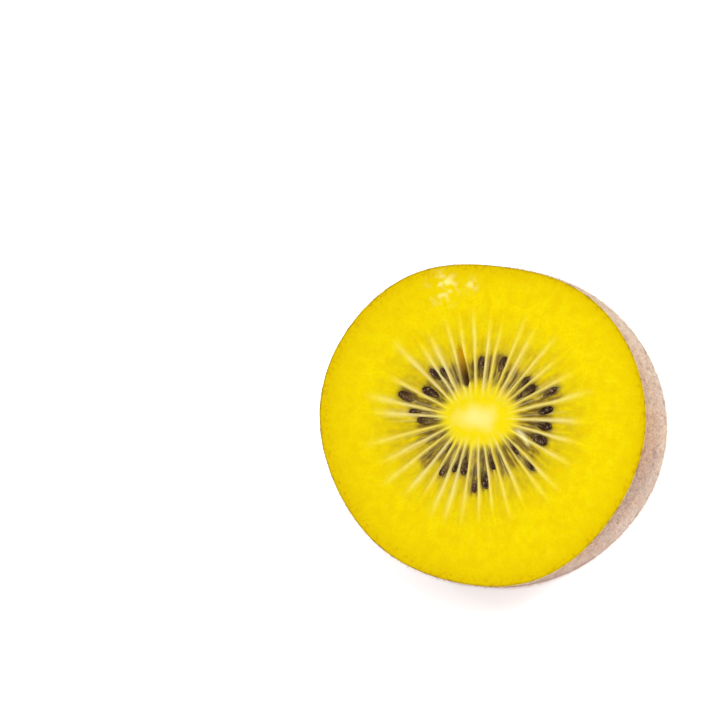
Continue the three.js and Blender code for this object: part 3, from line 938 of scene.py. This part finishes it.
def woody_relief(angle, distance, share):
    """Lumps, splinters, flakes and crumbs of the scar, weak in its pit and at its edge."""
    x, y = distance * np.cos(angle), distance * np.sin(angle)
    round_x = SPLINTER_STRETCH[0] * np.cos(angle) + SPLINTER_STRETCH[1] * x
    round_y = SPLINTER_STRETCH[0] * np.sin(angle) + SPLINTER_STRETCH[1] * y
    lumps = LUMP_HEIGHT * grain_on(x, y, *LUMP_NOISE)
    splinters = SPLINTER_HEIGHT * grain_on(round_x, round_y, *SPLINTER_NOISE)
    flakes = FLAKE_DEPTH * np.abs(grain_on(x, y, *FLAKE_NOISE))
    crumbs = CRUMB_HEIGHT * grain_on(x, y, *CRUMB_NOISE)
    brow = past_shares(distance, oval_radius(SCAR_PIT_RADII, angle, 0), SCAR_RING_BROW)
    kept = brow * (1 - smoothstep(share, *ROUGH_FADE))
    return (lumps + splinters - flakes + crumbs) * mix(PIT_ROUGHNESS, 1, kept)


def make_scar(material):
    """The woody ring with its pit, a closed lumpy piece set into the stem end."""
    angles = np.linspace(0, 2 * math.pi, SCAR_STEPS + 1)[:-1]
    share, angle = np.meshgrid(np.arange(1, SCAR_RINGS + 1) / SCAR_RINGS, angles, indexing="ij")
    distance = share * (scar_edge(angles) + SCAR_MARGIN)
    woody = woody_relief(angle, distance, share)
    depth_share = (1 - (distance / MEAN_RADIUS) ** 2) ** (1 / SIDE_FULLNESS)
    z = -DEPTH * depth_share + scar_relief(angle, distance) - woody * (1 - smoothstep(share, *WOODY_FADE))
    z = z + SCAR_SUNK * smoothstep(share, *SUNK_FADE)
    x, y = distance * np.cos(angle), distance * np.sin(angle)
    top = np.stack((x, y, z), -1).reshape(-1, 3)
    edge = (x[-1], y[-1], z[-1] + UNDER_DEPTH)
    under = np.concatenate([np.stack(edge, -1) * (share, share, 1) for share in UNDER_SHARES])
    ends = np.array(((0, 0, z[0].mean()), (0, 0, z[-1].mean() + UNDER_END_DEPTH)))
    count = len(top) + len(under)
    faces = ring_faces(count // SCAR_STEPS, SCAR_STEPS)
    faces += fan_faces(count, 0, SCAR_STEPS, outward=False)
    faces += fan_faces(count + 1, count - SCAR_STEPS, SCAR_STEPS, outward=True)
    in_pit = 1 - past_shares(distance, oval_radius(SCAR_PIT_RADII, angle, 0), PIT_TONE_EDGE)
    tones = {"pit": in_pit, "hollow": np.clip(HOLLOW_LEVEL - HOLLOW_GAIN * woody, 0, 1)}
    fields = {name: np.append(tone, np.zeros(len(under) + 2)) for name, tone in tones.items()}
    points = lay_down(np.concatenate((top, under, ends)))
    return add_mesh("stem_scar", points, faces, material, fields)


def is_hairy(fruit):
    """True where a point of the fruit frame is clear of the scar."""
    return (np.hypot(fruit[:, 0], fruit[:, 1]) > SCAR_RADIUS + BARE_RING) | (fruit[:, 2] > -0.5 * DEPTH)


def pick_roots(skin, draws):
    """Random points on the skin's outside, spread evenly over its area, and which way is up at each."""
    mesh = skin.data
    outside = mesh.polygons[: SKIN_STEPS * (SKIN_RINGS + 1)]
    corners = np.array([polygon.vertices[:3] for polygon in outside])
    places = np.array([vertex.co for vertex in mesh.vertices])
    a, b, c = (places[corners[:, k]] for k in range(3))
    normal = np.cross(b - a, c - a)
    area = np.linalg.norm(normal, axis=1)
    normal /= area[:, None]
    chosen = draws.choice(len(area), HAIRS, p=area / area.sum())
    u, v = draws.uniform(0, 1, (2, HAIRS, 1))
    return a[chosen] + u * (b - a)[chosen] + v * (c - a)[chosen], normal[chosen]


def make_fuzz(name, skin, hair, material):
    """Fine hairs all over the skin, each a thin closed spike that leans its own way."""
    draws = np.random.default_rng(hair["draw"])
    root, up = pick_roots(skin, draws)
    side = np.cross(up, draws.normal(size=(HAIRS, 3)))
    side /= np.linalg.norm(side, axis=1)[:, None]
    other = np.cross(up, side)
    lean = np.radians(draws.uniform(*hair["leans"], (HAIRS, 1)))
    length = draws.uniform(*hair["lengths"], (HAIRS, 1)) * MM
    tip = root + (up * np.cos(lean) + side * np.sin(lean)) * length
    off_floor = (root[:, 2] > LOWEST_ROOT * MM) & (tip[:, 2] > LOWEST_TIP * MM)
    kept = off_floor & is_hairy(stand_up(root))
    root, tip, up, side, other = (value[kept] for value in (root, tip, up, side, other))
    base = root - up * HAIR_ROOT * MM
    ring = [
        base + (side * math.cos(turn) + other * math.sin(turn)) * hair["radius"] * MM
        for turn in (0, 2 * math.pi / 3, 4 * math.pi / 3)
    ]
    points = np.stack((*ring, tip), 1).reshape(-1, 3)
    first = np.arange(len(root))[:, None] * 4
    spike = np.array(((0, 1, 3), (1, 2, 3), (2, 0, 3), (0, 2, 1)))
    faces = (first[:, :, None] + spike[None]).reshape(-1, 3).tolist()
    # painted shade towards the floor; towards the cut the hairs are brown of their own
    low = 1 - smoothstep(points[:, 2] / MM, *PAINTED_SHADE_HEIGHTS)
    brown_edge_and_painted_shade = np.maximum(low, smoothstep(stand_up(points)[:, 2], *BROWN_EDGE))
    return add_mesh(name, points, faces, material, {"brown_edge_and_painted_shade": brown_edge_and_painted_shade})


# ---- Materials ----

FLESH = (0.715, 0.566, 0.0003)
FLESH_DEEP = (0.645, 0.45, 0.0003)
FLESH_FLECK = (0.75, 0.61, 0.01)
FLESH_RIM_AND_SHADE = (0.585, 0.41, 0.0003)
FLESH_SPECK = (0.50, 0.29, 0.001)
CORE_CREAM = (0.76, 0.645, 0.17)
CORE_GLOW = (0.70, 0.555, 0.004)
RAY_PALE = (0.69, 0.59, 0.12)
RAY_CREAM = (0.58, 0.495, 0.25)
PAINTED_GLINT_CREAM = (0.78, 0.72, 0.36)
SLIT_AMBER = (0.55, 0.29, 0.001)
SLIT_DARK = (0.055, 0.015, 0.001)
POCKET_OLIVE = (0.205, 0.125, 0.014)
SEED_SHADE = (0.062, 0.034, 0.012)
SEED_BLACK = (0.014, 0.005, 0.003)
SEED_DARK = (0.034, 0.014, 0.006)
SEED_CLOUD = (0.075, 0.036, 0.016)
SEED_FLECK_AND_GLINT = (0.36, 0.25, 0.18)
SEED_VEIL = (0.19, 0.125, 0.03)
SKIN_BROWN = (0.165, 0.050, 0.018)
SKIN_RUSSET = (0.25, 0.082, 0.014)
SKIN_MAUVE = (0.155, 0.058, 0.036)
SKIN_SPECK = (0.46, 0.25, 0.11)
SKIN_PORE = (0.085, 0.030, 0.014)
SKIN_PAINTED_LIGHT = (0.60, 0.42, 0.23)
SKIN_STEM = (0.34, 0.24, 0.15)
LIP_GOLD = (0.62, 0.44, 0.03)
LIP_BROWN = (0.26, 0.11, 0.03)
HAIR_CREAM = (0.95, 0.83, 0.64)
HAIR_PINK = (0.82, 0.57, 0.42)
HAIR_SPECK = (0.40, 0.18, 0.09)
HAIR_BROWN_AND_SHADE = (0.42, 0.20, 0.13)
WOOD = (0.46, 0.29, 0.14)
WOOD_DARK = (0.24, 0.13, 0.06)
WOOD_PALE = (0.66, 0.52, 0.30)
WOOD_HOLLOW = (0.085, 0.040, 0.016)
WOOD_PIT = (0.045, 0.021, 0.009)
PAPER = (0.85, 0.89, 0.92)
PAPER_PALE = (0.87, 0.91, 0.94)

FLESH_SPECK_SIZE = 0.35
SAC_SIZE = 0.5
MIX_A, MIX_B, MIX_RESULT = 6, 7, 2  # a mix node's sockets for colours


class Shader:
    """A node material made by short calls. Texture sizes are in millimetres on the object."""

    def __init__(self, name, **settings):
        self.material = bpy.data.materials.new(name)
        self.material.use_nodes = True
        self.tree = self.material.node_tree
        self.surface = self.tree.nodes["Principled BSDF"]
        self.place = self.tree.nodes.new("ShaderNodeTexCoord").outputs["Object"]
        self.fill(self.surface, {socket.replace("_", " "): value for socket, value in settings.items()})

    def fill(self, node, inputs):
        """Set a node's sockets to numbers, and link other nodes' outputs to them."""
        for socket, value in inputs.items():
            if isinstance(value, bpy.types.NodeSocket):
                self.tree.links.new(value, node.inputs[socket])
            else:
                node.inputs[socket].default_value = value

    def add(self, kind, output, inputs, **settings):
        """One output of a new node."""
        node = self.tree.nodes.new("ShaderNode" + kind)
        for setting, value in settings.items():
            setattr(node, setting, value)
        self.fill(node, inputs)
        return node.outputs[output]

    def value(self, field):
        """One of the piece's own named values."""
        return self.add("Attribute", "Fac", {}, attribute_name=field)

    def noise(self, size, detail=2.0, roughness=0.5):
        inputs = {"Vector": self.place, "Scale": 1 / (size * MM), "Detail": detail, "Roughness": roughness}
        return self.add("TexNoise", "Fac", inputs)

    def cells(self, size):
        return self.add("TexVoronoi", "Distance", {"Vector": self.place, "Scale": 1 / (size * MM)})

    def span(self, source, low, high, to_low=0.0, to_high=1.0):
        """to_low where source is below low, to_high where it is above high, and even between."""
        limits = {"From Min": low, "From Max": high, "To Min": to_low, "To Max": to_high}
        return self.add("MapRange", "Result", {"Value": source, **limits})

    def patches(self, size, low, high, detail, roughness=0.5):
        """1 in patches where noise is above high, 0 where it is below low."""
        return self.span(self.noise(size, detail, roughness), low, high)

    def times(self, a, b):
        return self.add("Math", "Value", {0: a, 1: b}, operation="MULTIPLY")

    def blend(self, a, b, share):
        """From colour a to colour b by share."""
        first, second = ((*colour, 1) if isinstance(colour, tuple) else colour for colour in (a, b))
        return self.add("Mix", MIX_RESULT, {"Factor": share, MIX_A: first, MIX_B: second}, data_type="RGBA")

    def layers(self, colour, *layers):
        """Layers over a colour: each is a colour, where it shows and how strongly. It shows by one of the
        piece's values, by the numbers of some patches, or by another node's output."""
        for over, shown, strength in layers:
            if isinstance(shown, str):
                shown = self.value(shown)
            elif isinstance(shown, tuple):
                shown = self.patches(*shown)
            colour = self.blend(colour, over, self.times(shown, strength))
        return colour

    def bump(self, height, depth, strength, under=None):
        inputs = {"Height": height, "Distance": depth * MM, "Strength": strength}
        if under is not None:
            inputs["Normal"] = under
        return self.add("Bump", "Normal", inputs)

    def finish(self, colour, **inputs):
        """The material, with that colour and other sockets linked."""
        self.fill(self.surface, {"Base Color": colour, **inputs})
        return self.material


def flesh_material():
    shader = Shader(
        "golden_flesh",
        Specular_IOR_Level=0.12,
        Specular_Tint=(1.0, 0.85, 0.03, 1),
        Subsurface_Weight=0.25,
        Subsurface_Scale=1.2 * MM,
        Subsurface_Radius=(1.0, 0.7, 0.12),
    )
    speck = shader.noise(FLESH_SPECK_SIZE)
    beside_rim = shader.span(shader.value("near_rim"), 0.5, 0.8)
    colour = shader.layers(
        FLESH,
        (FLESH_DEEP, (1.7, 0.40, 0.68, 5), 0.7),
        (FLESH_DEEP, shader.span(shader.value("fibre"), 0.0, 0.7), 0.4),
        (FLESH_DEEP, shader.span(speck, 0.45, 0.70), 0.55),
        (FLESH_FLECK, "fleck", 0.3),
        # the rim's own deeper tone, with painted shade on the side away from the light
        (FLESH_RIM_AND_SHADE, "near_rim", 1),
        (FLESH_SPECK, shader.times(shader.patches(0.6, 0.50, 0.66, 3), beside_rim), 0.7),
        (POCKET_OLIVE, "pocket", 1),
        (CORE_GLOW, "halo", 1),
        (CORE_CREAM, "core", 1),
        (SEED_SHADE, "stain", 1),
        (shader.blend(SLIT_AMBER, SLIT_DARK, shader.value("slit_floor")), "slit", 1),
        (shader.blend(RAY_PALE, RAY_CREAM, shader.span(shader.value("pocket_zone"), 0.2, 1.0)), "ray", 1),
        # painted highlight: pale cream where the cut is wet
        (PAINTED_GLINT_CREAM, "wet_and_painted_glint", 0.6),
    )
    dry = shader.span(shader.value("film"), 0.0, 0.6, to_low=1.0, to_high=0.0)
    sacs = shader.bump(shader.times(shader.cells(SAC_SIZE), dry), depth=0.05, strength=0.5)
    relief = shader.bump(shader.times(speck, dry), depth=0.04, strength=0.6, under=sacs)
    gloss = shader.span(shader.value("wet_and_painted_glint"), 0.0, 1.0, to_low=0.42, to_high=0.14)
    return shader.finish(colour, Roughness=gloss, Normal=relief)


def seed_material():
    shader = Shader(
        "seed_coat",
        Roughness=0.25,
        Specular_IOR_Level=0.1,
        Specular_Tint=(1.0, 0.72, 0.45, 1),
    )
    colour = shader.layers(
        SEED_BLACK,
        (SEED_DARK, "tone", 1),
        (SEED_CLOUD, (0.8, 0.46, 0.66, 3), 0.5),
        # pale flecks: partly the coat's own speckle, partly painted glints
        (SEED_FLECK_AND_GLINT, (0.32, 0.58, 0.66, 3), 0.55),
        (SEED_VEIL, "veil", 1),
    )
    return shader.finish(colour, Normal=shader.bump(shader.noise(0.3), depth=0.05, strength=0.7))


def skin_material():
    shader = Shader(
        "kiwi_skin",
        Roughness=0.62,
        Specular_IOR_Level=0.3,
        Sheen_Weight=1.0,
        Sheen_Roughness=0.3,
        Sheen_Tint=(1.0, 0.95, 0.89, 1),
    )
    colour = shader.layers(
        SKIN_BROWN,
        (SKIN_RUSSET, (12.0, 0.40, 0.62, 4), 1),
        (SKIN_MAUVE, (5.0, 0.50, 0.68, 4), 1),
        (SKIN_SPECK, (0.5, 0.50, 0.60, 3, 0.65), 0.6),
        (SKIN_PORE, (0.6, 0.55, 0.65, 3), 0.75),
        # painted light on the skin's upper side near the cut
        (SKIN_PAINTED_LIGHT, "painted_top_light", 0.36),
        (SKIN_STEM, "stem", 0.5),
        (shader.blend(LIP_GOLD, LIP_BROWN, shader.patches(1.2, 0.50, 0.62, 3)), "rim", 1),
    )
    return shader.finish(colour, Normal=shader.bump(shader.noise(0.4, 3), depth=0.10, strength=0.8))


def fuzz_material():
    shader = Shader("fuzz", Roughness=0.6, Specular_IOR_Level=0.3)
    colour = shader.layers(
        HAIR_CREAM,
        (HAIR_PINK, (1.6, 0.42, 0.60, 2), 1),
        (HAIR_SPECK, (0.8, 0.53, 0.60, 3), 1),
        # brown at the cut's edge, and painted shade towards the floor
        (HAIR_BROWN_AND_SHADE, "brown_edge_and_painted_shade", 0.75),
    )
    return shader.finish(colour)


def scar_material():
    shader = Shader("dry_wood", Roughness=0.75, Specular_IOR_Level=0.25)
    colour = shader.layers(
        WOOD,
        (WOOD_DARK, (0.6, 0.38, 0.62, 4), 1),
        (WOOD_PALE, (1.4, 0.52, 0.66, 3), 1),
        (WOOD_HOLLOW, "hollow", 1),
        (WOOD_PIT, "pit", 1),
    )
    return shader.finish(colour, Normal=shader.bump(shader.noise(0.22, 4), depth=0.16, strength=1.0))


def paper_material():
    shader = Shader("white_paper", Roughness=0.9, Emission_Color=(1, 1, 1, 1), Emission_Strength=0.53)
    return shader.finish(shader.blend(PAPER, PAPER_PALE, shader.noise(3.0)))


# ---- Floor, light and camera, in metres ----

FLOOR_HALF = 1.5
CAMERA_RISE = math.radians(38)
CAMERA_ROUND = math.radians(32)
CAMERA_DISTANCE = 0.55
LENS = 179.3
FRAME_PIXELS = 719
CUT_PIXEL = (482.6, 422.6)  # where the photograph's frame shows the middle of the cut
CUT_AIM = (0.53, 0.11, 0)  # the point of the cut seen there, in millimetres
WORLD_STRENGTH = 1.06
LAMP_AIM = (0, 0, 0.02)
KEY_LAMP = {"place": (0.085, -0.075, 0.21), "size": 0.12, "power": 0.075}
SIDE_LAMP = {"place": (0.6, 0.5, 0.75), "size": 0.5, "power": 6.0}
GLINT_DISTANCE = 0.2
GLINT_SIZE = 0.005
GLINT_POWER = 0.025


def make_floor():
    mesh = bpy.data.meshes.new("floor")
    corners = [(x * FLOOR_HALF, y * FLOOR_HALF, 0) for x, y in ((-1, -1), (1, -1), (1, 1), (-1, 1))]
    mesh.from_pydata(corners, [], [(0, 1, 2, 3)])
    mesh.materials.append(paper_material())
    floor = bpy.data.objects.new("floor", mesh)
    bpy.context.scene.collection.objects.link(floor)


def camera_directions():
    """Right, up and back, as the camera sees them."""
    back = Vector((
        math.sin(CAMERA_ROUND) * math.cos(CAMERA_RISE),
        -math.cos(CAMERA_ROUND) * math.cos(CAMERA_RISE),
        math.sin(CAMERA_RISE),
    ))
    right = Vector((math.cos(CAMERA_ROUND), math.sin(CAMERA_ROUND), 0))
    return right, back.cross(right), back


def on_cut(spot):
    """A point of the fruit frame as one of the row frame."""
    return Vector(lay_down(np.array(spot, float))[0])


def add_turned(name, data, place, rotation):
    """A camera or lamp at a place, turned by a quaternion."""
    thing = bpy.data.objects.new(name, data)
    thing.location = place
    thing.rotation_mode = "QUATERNION"
    thing.rotation_quaternion = rotation
    bpy.context.scene.collection.objects.link(thing)
    return thing


def make_camera():
    """The photograph's camera: CUT_AIM lands on CUT_PIXEL, with no roll and no shift. Gives its place."""
    right, up, back = camera_directions()
    camera = bpy.data.cameras.new("camera")
    camera.sensor_fit = "HORIZONTAL"
    camera.lens = LENS
    pixel_angle = camera.sensor_width / (LENS * FRAME_PIXELS)
    off_x = (CUT_PIXEL[0] - FRAME_PIXELS / 2) * pixel_angle * CAMERA_DISTANCE
    off_y = -(CUT_PIXEL[1] - FRAME_PIXELS / 2) * pixel_angle * CAMERA_DISTANCE
    place = on_cut(CUT_AIM) - right * off_x - up * off_y + back * CAMERA_DISTANCE
    rotation = Matrix((right, up, back)).transposed().to_quaternion()
    bpy.context.scene.camera = add_turned("camera", camera, place, rotation)
    return place


def add_softbox(name, place, target, size, power):
    """A round lamp that faces a target and isn't seen itself."""
    light = bpy.data.lights.new(name, "AREA")
    light.shape = "DISK"
    light.size = size
    light.energy = power
    rotation = (Vector(target) - Vector(place)).to_track_quat("-Z", "Y")
    add_turned(name, light, place, rotation).visible_camera = False


def make_glint(eye):
    """A small lamp where the film of juice on the cut mirrors it to the eye."""
    spot = on_cut((*GLINT["spot"], 0))
    facing = TURN @ Vector((0, 0, 1))
    to_eye = (eye - spot).normalized()
    mirrored = 2 * facing.dot(to_eye) * facing - to_eye
    add_softbox("glint", spot + GLINT_DISTANCE * mirrored, spot, GLINT_SIZE, GLINT_POWER)


def make_light():
    world = bpy.data.worlds.new("studio")
    bpy.context.scene.world = world
    world.use_nodes = True
    background = world.node_tree.nodes["Background"]
    background.inputs["Color"].default_value = (1, 1, 1, 1)
    background.inputs["Strength"].default_value = WORLD_STRENGTH
    for name, lamp in (("key", KEY_LAMP), ("side", SIDE_LAMP)):
        add_softbox(name, target=LAMP_AIM, **lamp)


# ---- The scene ----

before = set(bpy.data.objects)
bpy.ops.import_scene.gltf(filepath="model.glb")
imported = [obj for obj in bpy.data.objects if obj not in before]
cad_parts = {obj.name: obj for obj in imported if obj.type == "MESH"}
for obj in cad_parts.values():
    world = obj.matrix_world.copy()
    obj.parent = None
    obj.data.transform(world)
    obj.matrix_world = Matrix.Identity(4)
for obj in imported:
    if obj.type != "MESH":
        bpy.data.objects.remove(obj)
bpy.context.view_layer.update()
SHIFT = find_shift()

bpy.context.scene.view_settings.view_transform = "Standard"
rays = ray_angles()
seeds = seed_places(rays)
draws = np.random.default_rng(SHADE_SEED)
tips = shade_tips(rays, seeds, draws)
make_flesh(rays, tips, seed_shades(rays, seeds, tips, draws), flesh_material())
make_seeds(seeds, slit_pocket(rays), seed_material())
skin = make_skin(skin_material())
make_scar(scar_material())
fuzz = fuzz_material()
make_fuzz("fuzz_short", skin, SHORT_HAIR, fuzz)
make_fuzz("fuzz_long", skin, LONG_HAIR, fuzz)
make_floor()
make_light()
make_glint(make_camera())
